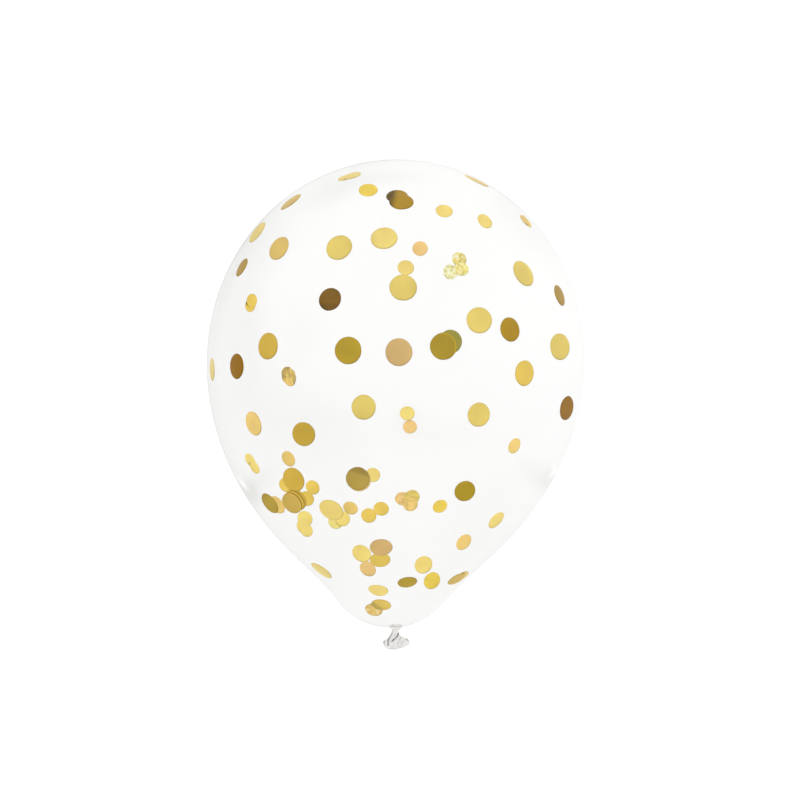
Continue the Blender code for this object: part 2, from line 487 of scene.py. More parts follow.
# Sharp folds in the lip's upper side: depth, half width (in w), painted fold shade and places (s, w) from pinch to
# rim.
FOLDS = [
    (0.0009, 0.034, 0.70, [(0.00, 0.02), (0.15, 0.05), (0.35, 0.03), (0.52, 0.08), (0.65, 0.17), (0.82, 0.20)]),
    (0.0012, 0.036, 0.92, [(0.10, 0.92), (0.18, 0.93), (0.30, 0.78), (0.37, 0.53), (0.45, 0.38), (0.53, 0.30)]),
    (0.0007, 0.036, 0.40, [(0.38, 1.00), (0.45, 0.87), (0.50, 0.75)]),
    (0.0004, 0.022, 0.34, [(0.07, 0.45), (0.20, 0.48)]),
    (0.0004, 0.016, 0.75, [(0.65, 0.995), (0.73, 0.98), (0.83, 0.98)]),
    (0.0003, 0.028, 0.68, [(0.68, 0.01), (0.80, 0.02), (0.90, 0.06)]),
    (0.0004, 0.022, 0.26, [(0.57, 0.67), (0.78, 0.55)]),
    (0.0004, 0.020, 0.24, [(0.65, 0.82), (0.83, 0.68)]),
    (0.0003, 0.018, 0.20, [(0.65, 0.90), (0.83, 0.73)]),
    (0.0003, 0.018, 0.20, [(0.80, 0.30), (0.90, 0.29), (0.99, 0.30)]),
    (0.0003, 0.020, 0.16, [(0.74, 0.42), (0.86, 0.38), (0.98, 0.37)]),
    (0.0003, 0.016, 0.20, [(0.60, 0.74), (0.76, 0.62), (0.90, 0.56)]),
    (0.0003, 0.016, 0.18, [(0.76, 0.82), (0.90, 0.66), (0.99, 0.60)]),
]


# Folds of the rolled ring: middle and half spread round it, place on the roll and half width (degrees), painted shade.
RING_FOLD_SHADE = [(172, 20, -26, 22, 0.42), (104, 30, -50, 11, 0.28), (35, 16, 4, 12, 0.22), (66, 20, -22, 7, 0.12),
              (250, 40, -10, 9, 0.5), (320, 30, -30, 9, 0.35)]


def folds(s, w, side):
    """Height of the lip's soft folds at a place: s from pinch to rim, w from left to right, side +1 above and -1 below."""
    if side > 0:
        base = (0.42 * cos(2 * pi * (3.2 * w + 0.35 * s + 0.1)) + 0.30 * cos(2 * pi * (6.1 * w - 0.5 * s + 0.37))
                + 0.18 * cos(2 * pi * (11.3 * w + 0.2)))
    else:
        base = (0.40 * cos(2 * pi * (2.7 * w - 0.3 * s + 0.6)) + 0.28 * cos(2 * pi * (5.3 * w + 0.4 * s))
                + 0.15 * cos(2 * pi * (9.7 * w + 0.7)))
    return 0.00055 * base * smooth(0.02, 0.5, s)


def sharp_folds(s, w):
    """Depth and painted shade of the sharp folds at a place on the lip's upper side."""
    depth = dark = 0.0
    spread = 26.0 / (along(LIP_RIGHT, s)[0] - along(LIP_LEFT, s)[0])
    for deep, half, strength, places in FOLDS:
        s0, s1 = places[0][0], places[-1][0]
        ends = smooth(s0 - 0.05, s0 + 0.03, s) * (1 - smooth(s1 - 0.03, s1 + 0.05, s))
        if ends > 0:
            here = ends * exp(-((w - along(places, s)[0]) / (half * spread)) ** 2)
            depth += deep * here
            dark = max(dark, strength * here)
    return depth, dark


def lip_point(s, a, shrink=0.0):
    """Lip surface at s from pinch to rim and angle a round it, with its painted fold shade. shrink moves it inwards.
    """
    lx, ly = along(LIP_LEFT, s)
    rx, ry = along(LIP_RIGHT, s)
    w = 0.5 - 0.5 * cos(a)
    side = 1 if sin(a) >= 0 else -1
    px = lx + (rx - lx) * w
    py = ly + (ry - ly) * w + along(LIP_HANG, w)[0] * smooth(0.05, 1.0, s)
    depth = 0.0023 + 0.0026 * smooth(0.0, 1.0, s)
    lift = sin(a) * depth
    ends = min(1.0, 6 * w * (1 - w) + 0.02)
    deep, dark = sharp_folds(s, w) if side > 0 else (0.0, 0.0)
    lift += side * folds(s, w, side) * ends
    lift -= min(deep, 0.75 * abs(lift))
    if shrink:
        lift -= side * min(shrink, abs(lift) * 0.8)
        px += (0.5 - w) * 2 * shrink / 0.0007345 * abs(cos(a))
    p = at_height(px, py, AXIS_Z)
    lower = -0.0004 * s
    return Vector((p.x, p.y, AXIS_Z + lift + lower)), dark


KNOT_AT = at_height(395.9, 627.3, AXIS_Z)                  # middle of the knot's rolled ring


def aside(s, r):
    """Sideways pull of the last of the tail towards the knot."""
    return (KNOT_AT.x - lean(-TAIL)) * smooth(0.022, 0.007, r) if s < 0 else 0.0


def shade(p):
    """Greyness of the wall's colour: thicker latex and painted reflection towards the tail, painted shade and glints.
    """
    u, v, z = p.x / RADIUS, (p.y - BELLY_Y) / RADIUS, abs(p.z - AXIS_Z) / RADIUS
    t = 0.10 + 0.25 * smooth(0.35, -0.45, v) - 0.10 * smooth(0.3, 0.6, u) * smooth(-0.2, 0.2, v)
    t += 0.30 * smooth(-0.75, -1.10, v + 1.69 * u)
    t += 0.35 * (1 - smooth(0.30, 0.65, z)) * smooth(-0.15, -0.50, u)
    return max(-0.1, t + 0.065 * shade_patch_levels(p))


def envelope():
    bm = bmesh.new()
    # the wall's grey value: thicker latex together with painted shade, reflections and glints
    film_grey_and_shade = bm.verts.layers.float.new("film_grey_and_shade")
    # the knot's fold value: painted shade in its folds, partly for the extra layers of latex
    fold_layers_and_shade = bm.verts.layers.float.new("fold_layers_and_shade")

    def ring_of(points):
        out = []
        for p, th, cr in points:
            v = bm.verts.new(p)
            v[film_grey_and_shade], v[fold_layers_and_shade] = th, cr
            out.append(v)
        return out

    def bridge(a, b, slot):
        for j in range(AROUND):
            k = (j + 1) % AROUND
            face = bm.faces.new((a[j], b[j], b[k], a[k]))
            face.material_index = slot
            face.smooth = True

    def cap(v, ring, flip, slot):
        for j in range(AROUND):
            k = (j + 1) % AROUND
            face = bm.faces.new((v, ring[k], ring[j]) if flip else (v, ring[j], ring[k]))
            face.material_index = slot
            face.smooth = True

    # the wall ends in an opening that the knot's roll plugs
    end_r = RING_CORE + BEAD + 0.0002
    before, after = 2.6, pi
    for _ in range(50):
        middle = (before + after) / 2
        if profile(middle)[0] > end_r:
            before = middle
        else:
            after = middle
    end_s = profile(before)[1]

    def skin(inner):
        rows = body_rows(208)
        made = []
        for s, r, nr, ns in [row for row in rows[1:-1] if row[0] > 0 or row[1] > end_r + 0.0008] + [(end_s, end_r, 0.0, -1.0)]:
            ring = []
            pucker = max(0.0, 1 - r / 0.010) ** 2
            thinner = 0.4 + 0.6 * smooth(0.0050, 0.0095, r) if s < 0 else 1.0    # where the knot has drawn it tight
            for j in range(AROUND):
                a = finer_at_sides(2 * pi * j / AROUND)
                ring_r, ring_s, th = r, s, 0.0
                if inner:
                    # the wall is thicker under the painted shade patches and thinner at the painted glints
                    th = wall_thickness(s, cos(a), sin(a)) + shade_patch_thickness(wall_place(s, a), abs(sin(a)))
                    th = max(0.00004, th * thinner)
                    ring_r, ring_s = r - nr * th, s - ns * th
                x, z = ring_r * cos(a), ring_r * sin(a)
                extra = pucker * (0.0003 + 0.00020 * cos(13 * a) + 0.00014 * cos(7 * a + 1.0)) if s < 0 else 0.0
                p = Vector((x + lean(s) + aside(s, r), BELLY_Y + ring_s - extra, th + soft_floor(AXIS_Z + z - th)))
                # each point's grey value carries thicker latex and painted shade
                ring.append((p, shade(p), 0.0))
            made.append(ring_of(ring))
        return made, rows

    outer, rows = skin(False)
    for a, b in zip(outer, outer[1:]):
        bridge(a, b, 0)
    pole = ring_of([(Vector((lean(rows[0][0]), BELLY_Y + rows[0][0], AXIS_Z)), 0.2, 0.0)])[0]
    cap(pole, outer[0], False, 0)

    # the rolled ring of the knot, pinch, lip and its rim, then back up inside the lip to a closed throat
    last = None
    flat = TAIL_Y - 0.0005
    inside = ring_of([(Vector((KNOT_AT.x, flat, AXIS_Z)), 0.4, 0.05)])[0]
    for r in (0.0009, 0.0017, 0.0025, 0.0031, 0.0035, 0.0038):
        ring = []
        for j in range(AROUND):
            a = 2 * pi * j / AROUND
            x, z = r * cos(a), r * sin(a)
            # two spots of painted shade on the roll's flat face, where it lies in folds
            fold_shade_mark = 0.55 * exp(-((x + 0.0021) / 0.0009) ** 2 - ((z - 0.0014) / 0.0012) ** 2)
            fold_shade_mark = max(fold_shade_mark, 0.30 * exp(-((x - 0.0036) / 0.0005) ** 2 - ((z - 0.0016) / 0.0016) ** 2))
            ring.append((Vector((KNOT_AT.x + x, flat, AXIS_Z + z)), 0.4, 0.03 + fold_shade_mark))
        new = ring_of(ring)
        if last:
            bridge(last, new, 1)
        else:
            cap(inside, new, False, 1)
        last = new
    for i in range(21):
        turn = radians(30 - 100 * i / 20)
        ring = []
        for j in range(AROUND):
            a = 2 * pi * j / AROUND
            wrap = 0.00022 * cos(2 * a + 0.8) + 0.00010 * cos(9 * a + 2.2 * turn)
            r = RING_CORE + (BEAD + wrap) * cos(turn)
            y = min(flat, TAIL_Y - 0.0009 + (BEAD + wrap) * sin(turn))
            # where the roll lies in folds: short lines of painted shade on its upper side, and one low at the left
            fold_shade_mark = 0.0
            for middle, half, angle, wide, strength in RING_FOLD_SHADE:
                fold_shade_mark = max(fold_shade_mark, strength * exp(-((degrees(a) - middle) / half) ** 4 - ((degrees(turn) - angle) / wide) ** 2))
            r -= 0.00022 * fold_shade_mark
            ring.append((Vector((KNOT_AT.x + r * cos(a), y, AXIS_Z + r * sin(a))), 0.4, 0.03 + fold_shade_mark))
        new = ring_of(ring)
        bridge(last, new, 1)
        last = new
    steps = 34
    for i in range(1, steps + 1):
        s = i / steps
        ring = []
        for j in range(AROUND):
            a = 2 * pi * j / AROUND
            # the body runs round with cos a to the right; the lip's w runs left to right
            p, cr = lip_point(s, pi - a)
            ring.append((p, 0.4, 0.04 + cr))
        new = ring_of(ring)
        bridge(last, new, 1)
        last = new
    # rolled rim: a bead round the lip's edge
    edge = [lip_point(1.0, pi - 2 * pi * j / AROUND)[0] for j in range(AROUND)]
    within = [lip_point(0.93, pi - 2 * pi * j / AROUND, 0.0009)[0] for j in range(AROUND)]
    for i in range(1, 9):
        turn = radians(-60 + 300 * i / 9)
        ring = []
        for j in range(AROUND):
            out_of = (edge[j] - Vector((sum(p.x for p in edge) / AROUND, edge[j].y, AXIS_Z))).normalized()
            mid = (edge[j] + within[j]) / 2 + Vector((0, -0.0003, 0))
            bead = 0.00062
            p = mid + out_of * bead * cos(turn) + Vector((0, -1, 0)) * bead * sin(turn)
            ring.append((p, 0.4, 0.05))
        new = ring_of(ring)
        bridge(last, new, 1)
        last = new
    # back up inside the lip, with painted shade deepening towards the throat
    for i in range(12):
        s = 0.90 - 0.88 * i / 11
        ring = [(lip_point(s, pi - 2 * pi * j / AROUND, 0.0007)[0], 0.4, 0.10 + 0.25 * (1 - s)) for j in range(AROUND)]
        new = ring_of(ring)
        bridge(last, new, 1)
        last = new
    throat = ring_of([(sum((v.co for v in last), Vector()) / AROUND + Vector((0, 0.0006, 0)), 0.4, 0.4)])[0]
    cap(throat, last, True, 1)

    # the air side of the wall
    inner, rows = skin(True)
    bridge(outer[-1], inner[-1], 0)
    for a, b in zip(inner, inner[1:]):
        bridge(b, a, 0)
    s0 = rows[0][0]
    top = ring_of([(Vector((lean(s0), BELLY_Y + s0 - wall_thickness(s0), AXIS_Z)), 0.2, 0.0)])[0]
    cap(top, inner[0], True, 0)

    mesh = bpy.data.meshes.new("latex_envelope")
    bmesh.ops.reverse_faces(bm, faces=bm.faces)            # every face points out of the latex
    bm.normal_update()
    bm.to_mesh(mesh)
    bm.free()
    obj = link(bpy.data.objects.new("latex_envelope", mesh))
    mesh.materials.append(FILM)
    mesh.materials.append(KNOT)
    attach(obj, "root")
    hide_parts("balloon")
    return obj


envelope()

# ---------------------------------------------------------------- the confetti
# One row a disc: x, y, long and short axis and its tilt as seen (pixels, degrees anticlockwise), the wall it
# clings to (T above, nearest the camera; F towards the floor), how many discs lie between it and the wall (less than
# 1 where it lies snugly on one),
# the foil's tone, and how crumpled it is.
DISCS = [
    (352.1, 175.1, 18.4, 6.8, 14, "T", 0, "glow", 0),
    (345.2, 177.1, 15.6, 6.2, 13, "T", 1, "glow", 0),
    (368.2, 190.2, 19.1, 12.2, 3, "F", 0, "yellow", 0),
    (401.5, 201.3, 24.6, 16.2, -5, "T", 0, "dark", 0),
    (397.2, 195.9, 22.2, 13.6, 5, "T", 1, "dark", 0),
    (444.2, 211.1, 17.3, 12.1, -10, "F", 0, "glow", 0),
    (484.8, 221.3, 17.0, 11.2, -42, "F", 0, "glow", 0),
    (476.9, 180.0, 27.0, 4.4, -25, "T", 0, "bright", 0),
    (524.9, 219.9, 13.0, 4.6, -48, "T", 0, "tan", 0),
    (527.5, 222.5, 12.0, 4.8, -46, "T", 0.7, "glow", 0),
    (290.3, 201.4, 25.0, 6.5, 40, "T", 0, "mid", 0),
    (257.0, 232.2, 25.0, 7.0, 52, "T", 0, "light", 0),
    (278.8, 248.2, 25.5, 16.0, 55, "T", 0, "tan", 0),
    (339.0, 247.4, 27.0, 23.0, 35, "T", 0, "light", 0),
    (384.0, 237.7, 27.2, 22.4, 5, "T", 0, "glow", 0),
    (420.1, 248.6, 15.5, 14.4, 0, "F", 0, "blush", 0),
    (405.8, 267.6, 16.6, 15.3, 0, "F", 0, "glow", 0),
    (403.2, 287.2, 28.0, 25.6, -5, "T", 0, "light", 0),
    (459.5, 259.0, 15.0, 13.6, -36, "F", 0, "straw", 3),
    (462.0, 268.3, 14.5, 13.2, -38, "F", 1, "straw", 3),
    (450.7, 271.6, 15.4, 14.4, -35, "F", 0, "pale", 3),
    (241.4, 267.2, 20.5, 6.8, 64, "T", 0, "dark", 0),
    (524.0, 273.2, 28.0, 16.7, -58, "T", 0, "light", 0),
    (329.7, 299.1, 24.0, 21.6, 45, "T", 0, "bronze", 0),
    (250.4, 305.2, 13.6, 10.2, 80, "F", 0, "bright", 0),
    (251.9, 300.6, 13.8, 10.4, 80, "F", 0.62, "bright", 0),
    (560.0, 295.2, 22.0, 7.4, -70, "T", 0, "dark", 0),
    (479.3, 320.2, 26.5, 25.2, -65, "T", 0, "light", 0),
    (510.5, 329.4, 24.7, 19.0, -78, "T", 0, "dark", 0),
    (267.4, 346.0, 27.2, 19.9, 84, "T", 0, "mid", 0),
    (347.9, 350.4, 27.9, 26.4, 80, "T", 0, "olive", 0),
    (399.0, 352.2, 28.0, 27.2, 90, "T", 0, "rose", 0),
    (443.5, 346.3, 27.5, 26.8, 90, "T", 0, "olive", 0),
    (450.5, 341.7, 24.0, 23.0, -70, "T", 1, "moss", 0),
    (560.2, 346.7, 26.8, 19.2, -84, "T", 0, "light", 0),
    (236.2, 366.3, 25.7, 13.1, 90, "T", 0, "brown", 0),
    (211.6, 369.5, 23.0, 5.4, 90, "T", 0, "light", 0),
    (287.8, 376.8, 20.4, 13.8, -70, "F", 0, "tan", 3),
    (525.0, 373.2, 26.0, 19.4, 88, "T", 0, "bright", 0),
    (363.5, 407.2, 25.2, 24.3, 90, "T", 0, "light", 0),
    (407.2, 413.3, 15.0, 13.9, 0, "F", 0, "glow", 0),
    (410.0, 426.8, 14.0, 13.3, 0, "F", 0, "blush", 0),
    (479.0, 414.7, 24.5, 22.0, 75, "T", 0, "light", 0),
    (567.0, 408.2, 24.5, 12.8, 80, "T", 0, "brown", 0),
    (253.0, 423.7, 25.0, 14.4, -72, "T", 0, "honey", 0),
    (303.6, 434.2, 24.4, 22.4, -60, "T", 0, "mid", 0),
    (514.5, 445.8, 16.2, 11.7, 60, "F", 0, "honey", 0),
    (288.4, 458.8, 16.6, 11.7, -58, "F", 0, "tan", 0),
    (250.2, 460.1, 14.5, 8.2, -58, "F", 0, "glow", 0),
    (254.7, 467.3, 14.0, 7.7, -61, "F", 1, "glow", 0),
    (293.4, 479.7, 25.2, 19.5, -57, "T", 0, "mid", 0),
    (286.0, 484.8, 15.0, 12.8, -54, "F", 0, "bright", 0),
    (312.7, 487.3, 15.2, 12.6, -49, "F", 0, "bright", 0),
    (291.6, 503.3, 23.0, 16.0, -50, "T", 0, "sand", 0),
    (294.0, 501.3, 23.2, 17.8, -50, "T", 1, "mid", 0),
    (296.1, 499.5, 24.0, 20.0, -50, "T", 2, "mid", 0),
    (306.7, 498.5, 15.6, 13.8, -48, "F", 0, "bright", 0),
    (269.6, 503.5, 23.4, 11.0, -53, "T", 0, "olive", 0),
    (277.1, 504.8, 19.6, 12.2, -52, "F", 0, "tan", 0),
    (305.0, 518.6, 16.4, 14.0, -50, "F", 0, "glow", 0),
    (303.6, 526.3, 15.0, 13.4, -50, "F", 1, "glow", 0),
    (306.6, 530.3, 13.6, 11.4, -50, "F", 2, "glow", 0),
    (331.0, 510.4, 26.0, 18.0, -37, "T", 0, "glow", 0),
    (335.9, 521.3, 15.6, 14.6, -40, "F", 0, "straw", 0),
    (342.6, 518.7, 15.4, 13.7, -40, "F", 1, "glow", 0),
    (350.5, 508.1, 15.2, 12.5, -25, "F", 0, "tan", 0),
    (357.6, 478.6, 23.8, 22.8, -25, "T", 0, "khaki", 0),
    (358.9, 479.9, 23.8, 22.8, -25, "T", 1, "tan", 0),
    (372.9, 474.9, 14.8, 14.1, -17, "F", 0, "glow", 0),
    (368.8, 515.5, 15.4, 14.1, -20, "F", 0, "bright", 0),
    (381.2, 508.7, 15.4, 13.7, -11, "F", 0, "bright", 0),
    (402.3, 498.9, 14.6, 13.2, 6, "F", 0, "blush", 2),
    (412.1, 497.2, 15.2, 13.6, 12, "F", 1, "light", 2),
    (410.3, 504.5, 15.0, 13.2, 10, "F", 2, "honey", 2),
    (440.0, 506.3, 15.2, 12.7, 30, "F", 0, "yellow", 0),
    (465.0, 491.2, 21.6, 19.4, 38, "T", 0, "olive", 0),
    (496.4, 520.3, 20.0, 10.1, 50, "F", 0, "glow", 0),
    (463.7, 542.1, 18.0, 12.1, 47, "F", 0, "honey", 0),
    (381.2, 547.6, 22.8, 16.4, 0, "T", 0, "rose", 0),
    (361.7, 553.4, 20.0, 15.8, -33, "F", 0, "glow", 0),
    (380.2, 560.0, 20.4, 12.8, -3, "T", 1, "bright", 0),
    (367.9, 568.7, 17.2, 15.6, -60, "F", 1, "blush", 0),
    (423.5, 564.7, 18.6, 16.5, 35, "F", 0, "glow", 0),
    (432.1, 580.7, 18.0, 15.2, 48, "F", 0, "yellow", 1),
    (407.5, 582.6, 20.0, 9.8, 8, "T", 0, "olive", 0),
    (456.6, 579.2, 19.8, 7.0, 28, "T", 0, "mid", 0),
    (462.2, 575.9, 15.2, 4.4, 30, "T", 1, "tan", 0),
    (321.0, 571.0, 25.0, 7.6, -35, "T", 0, "light", 0),
    (378.1, 590.6, 20.4, 9.4, -6, "T", 0, "glow", 0),
    (381.2, 605.0, 20.0, 10.2, -8, "T", 0, "bright", 0),
    (373.9, 609.8, 17.8, 11.8, -12, "F", 0, "tan", 1),
]

THICK = 0.00016                                            # a foil disc
CLEAR = 0.00036                                            # from the wall's inner face to a disc's middle
STEP = 0.00052                                             # more for each disc that lies under it
CRUMPLED_STEP = 0.0020                                     # and for a crumpled one


def outline(centre, u, w, radius):
    """Size and tilt of a disc as the camera sees it, in pixels and degrees."""
    pts = []
    for i in range(48):
        a = 2 * pi * i / 48
        pts.append(seen_at(centre + (u * cos(a) + w * sin(a)) * radius))
    mx = sum(p[0] for p in pts) / 48
    my = sum(p[1] for p in pts) / 48
    xx = sum((p[0] - mx) ** 2 for p in pts) / 48
    yy = sum((p[1] - my) ** 2 for p in pts) / 48
    xy = sum((p[0] - mx) * (my - p[1]) for p in pts) / 48
    mean, diff = (xx + yy) / 2, hypot((xx - yy) / 2, xy)
    return 2 * sqrt(2 * (mean + diff)), 2 * sqrt(2 * max(0.0, mean - diff)), degrees(0.5 * atan2(2 * xy, xx - yy))


def on_wall(px, py, wall, gap):
    """Where the line of sight through a pixel meets the wall's inside, or None if it misses."""
    d = ray(px, py)
    low, high, n = 0.36, 0.74, 380
    ks = [low + (high - low) * i / n for i in range(n + 1)]
    within = [k for k in ks if room(CAMERA + d * k, gap) > 0]
    if not within:
        return None
    step = (high - low) / n
    a, b = (within[0] - step, within[0]) if wall == "T" else (within[-1] + step, within[-1])
    for _ in range(30):
        m = (a + b) / 2
        if room(CAMERA + d * m, gap) > 0:
            b = m
        else:
            a = m
    return CAMERA + d * b


def fits(at, u, w, radius, gap):
    """How far the tightest place of a flat disc is inside the wall."""
    rim = min(room(at + (u * cos(2 * pi * i / 16) + w * sin(2 * pi * i / 16)) * radius * 1.01, gap) for i in range(16))
    if rim < 0:
        return rim
    return min(rim, room(at, gap), *(room(at + (u * cos(2 * pi * i / 8) + w * sin(2 * pi * i / 8)) * radius * 0.6, gap)
                                     for i in range(8)))


def placed(px, py, long, short, tilt, wall, layer, under, stand_off):
    """Centre, outward normal, radius and whether the disc follows the wall. A disc that looks rounder or flatter
    than the wall would make it, by 5 degrees or more, leans off the wall, with its edge against it. One that lies on
    another, under, takes that one's plane."""
    gap = CLEAR + stand_off
    step = 0.0002 if wall == "T" else -0.0002
    middle = Vector((396.5, 400.0))
    spot = Vector((px, py))
    at = on_wall(px, py, wall, gap)
    while at is None:
        spot += (middle - spot).normalized() * 0.4
        at = on_wall(spot.x, spot.y, wall, gap)
    normal = wall_normal(at)
    view = (CAMERA - at).normalized()
    d = ray(spot.x, spot.y)
    if under:
        base, own, follows = under
        if not follows:
            plane = base - own * stand_off
            at = CAMERA + d * ((plane - CAMERA).dot(own) / d.dot(own))
        else:
            own = normal
        u = own.orthogonal().normalized()
        w = own.cross(u)
        radius = 0.0075
        for _ in range(3):
            radius *= long / outline(at, u, w, radius)[0]
        if not follows:
            for _ in range(200):
                if fits(at, u, w, radius, CLEAR) > 0:
                    break
                at = at + d * step
        return at, own, radius, follows
    # the disc's own normal, from the ellipse it shows
    ratio = min(0.9999, short / long)
    t = radians(tilt)
    minor = Vector((-sin(t), cos(t), 0.0))
    minor = (minor - view * minor.dot(view)).normalized()
    side = 1.0 if wall == "T" else -1.0
    guesses = [view * ratio * side + minor * sqrt(1 - ratio * ratio) * sign for sign in (1, -1)]
    seen = max(guesses, key=lambda g: g.dot(normal)).normalized()
    off = degrees(acos(max(-1.0, min(1.0, seen.dot(normal)))))
    follows = off < 5.0
    for share in (1.0, 0.8, 0.6, 0.4, 0.2, 0.0):
        if follows or share == 0.0:
            # no room on this line of sight for the lean: it lies against the wall after all
            own, follows, place = normal, True, at
        else:
            own, place = (seen * share + normal * (1 - share)).normalized(), at
        u = own.orthogonal().normalized()
        w = own.cross(u)
        radius = 0.0075
        for _ in range(3):
            radius *= long / outline(place, u, w, radius)[0]
        if follows:
            return place, own, radius, True
        # slide it along the line of sight until its edge just touches the wall
        for tries in range(400):
            if fits(place, u, w, radius, gap) > 0:
                radius *= long / outline(place, u, w, radius)[0]
                return place, own, radius, False
            place = place + d * step
            if room(place, gap) < 0:
                break


RINGS = (0.0, 0.22, 0.44, 0.62, 0.76, 0.86, 0.92, 0.955, 0.98, 1.0)
SEGMENTS = 56

# Painted reflection and shade drifting over single discs, and a few whole-disc changes of tone (those that start off
# the disc): where the disc is, the direction that the drift takes (degrees anticlockwise from the right), where it
# starts and ends on the disc (-1 to 1), and by how much it changes the tone.
TONE_AND_REFLECTION_DRIFTS = {
    (397.2, 195.9): [(165, -0.05, 0.50, -0.72), (90, 0.55, 0.95, -0.30)],
    (401.5, 201.3): [(165, 0.30, 0.85, -0.60)],
    (329.7, 299.1): [(0, -3.0, -2.0, 0.08), (-90, 0.36, 0.46, -0.22), (-140, 0.55, 0.95, -0.30),
                     (60, 0.70, 0.95, -0.18)],
    (384.0, 237.7): [(180, 0.4, 0.9, -0.10)],
    (459.5, 259.0): [(-20, 0.0, 0.8, -0.03)],
    (450.5, 341.7): [(0, -3.0, -2.0, 0.08)],
    (443.5, 346.3): [(0, -3.0, -2.0, -0.05)],
    (303.6, 434.2): [(0, -3.0, -2.0, -0.06)],
    (357.6, 478.6): [(73, 0.38, 0.50, -0.26), (-60, -0.2, 0.8, 0.08)],
    (294.0, 501.3): [(0, -3.0, -2.0, -0.03)],
    (407.5, 582.6): [(0, -3.0, -2.0, 0.08), (180, 0.2, 0.8, -0.12)],
    (378.1, 590.6): [(-90, 0.2, 0.8, -0.06)],
    (269.6, 503.5): [(130, 0.2, 0.9, -0.14)],
    (287.8, 376.8): [(150, 0.15, 0.55, -0.30), (0, 0.30, 0.55, -0.20), (-90, 0.1, 0.5, 0.10)],
    (380.2, 560.0): [(180, -0.2, 0.7, -0.08)],
    (381.2, 605.0): [(0, -3.0, -2.0, -0.08), (235, 0.08, 0.32, -0.26), (170, 0.5, 0.8, -0.12)],
    (373.9, 609.8): [(90, 0.1, 0.5, -0.12)],
}
# Discs that are a little lighter or darker all over than their tone.
LEVELS = {
    (420.1, 248.6): 0.07, (339.0, 247.4): -0.05, (347.9, 350.4): 0.10, (236.2, 366.3): 0.14, (367.9, 568.7): -0.07,
    (363.5, 407.2): -0.05, (463.7, 542.1): 0.05, (288.4, 458.8): 0.06, (241.4, 267.2): 0.06, (381.2, 508.7): 0.05,
    (423.5, 564.7): 0.05, (350.5, 508.1): 0.05, (277.1, 504.8): 0.05, (257.0, 232.2): 0.04, (403.2, 287.2): -0.07,
    (560.0, 295.2): -0.08, (286.0, 484.8): 0.05, (312.7, 487.3): 0.06, (440.0, 506.3): 0.05, (342.6, 518.7): 0.04,
    (510.5, 329.4): 0.03,
}
# Discs whose rim catches the light where it lies over the next disc: the direction, half the spread, and by how much.
LIT_RIMS = {(443.5, 346.3): (32, 75, 0.42), (291.6, 503.3): (32, 85, 0.20), (294.0, 501.3): (32, 80, 0.14)}
# Creased discs with painted glints: places painted almost white.
PAINTED_GLINTS = {(459.5, 259.0): 0.75, (462.0, 268.3): 0.35, (450.7, 271.6): 0.9, (373.9, 609.8): 0.25}


